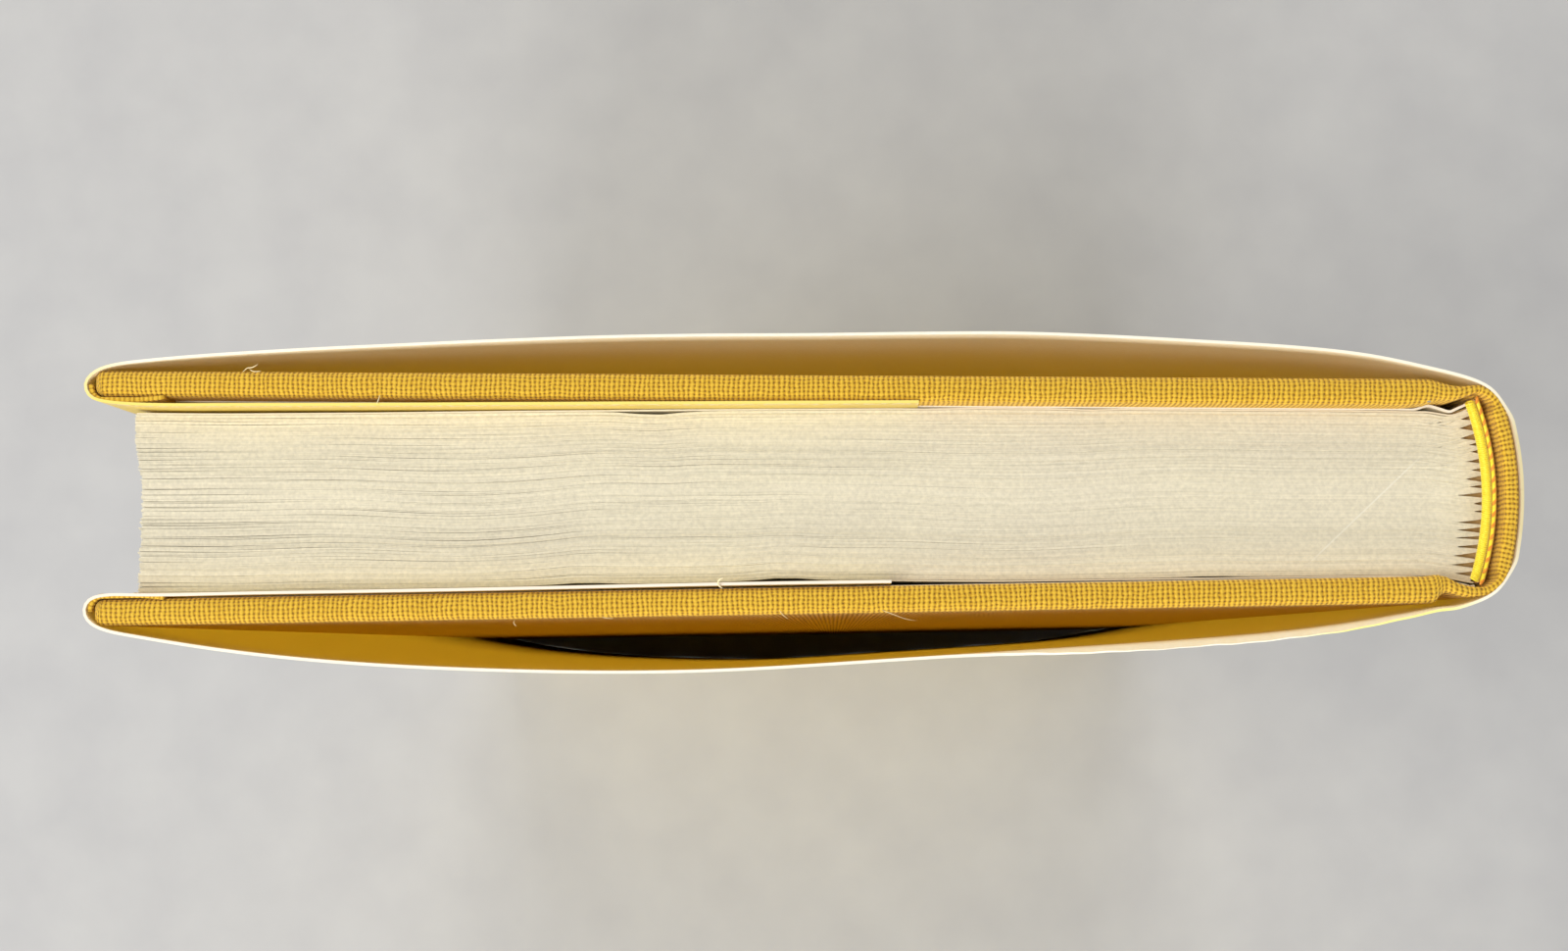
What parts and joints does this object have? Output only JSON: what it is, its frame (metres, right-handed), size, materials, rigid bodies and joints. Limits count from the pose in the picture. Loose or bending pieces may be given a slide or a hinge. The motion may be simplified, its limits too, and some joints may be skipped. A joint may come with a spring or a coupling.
{
  "type": "hardcover book",
  "caption": "Hardcover book with sewn pages, cloth-covered boards that open at cloth joints, and a loose paper jacket with flaps tucked behind the boards.",
  "frame": {"origin": "middle of the footprint of the standing book, on the plane of its tail", "axes": "+X from fore-edge to spine, +Y from back cover to front cover, +Z from tail to head"},
  "size_m": [0.1463, 0.0356, 0.2223],
  "materials": {
    "pages": "matt, cut edges",
    "endpaper": "matt",
    "lining": "matt",
    "band": "silky thread",
    "card": "matt",
    "board": "matt",
    "cloth": "plain weave",
    "jacket": "satin"
  },
  "bodies": {
    "book_block": {"text_block": "pages", "front_flyleaf": "endpaper", "rear_flyleaf": "endpaper", "spine_lining": "lining", "head_band": "band", "tail_band": "band", "spine_inlay": "card", "spine_cloth": "cloth", "jacket_spine": "jacket"},
    "front_cover": {"front_board": "board", "front_cloth": "cloth", "front_pastedown": "endpaper", "jacket_front": "jacket"},
    "back_cover": {"back_board": "board", "back_cloth": "cloth", "back_pastedown": "endpaper", "jacket_back": "jacket"}
  },
  "joints": [
    {"name": "front_joint", "type": "hinge", "parent": "book_block", "child": "front_cover", "pos_m": [0.06895, 0.01246, 0], "axis": [0, 0, -1], "range_deg": [0, 180]},
    {"name": "back_joint", "type": "hinge", "parent": "book_block", "child": "back_cover", "pos_m": [0.06895, -0.01088, 0], "axis": [0, 0, 1], "range_deg": [0, 180]}
  ]
}
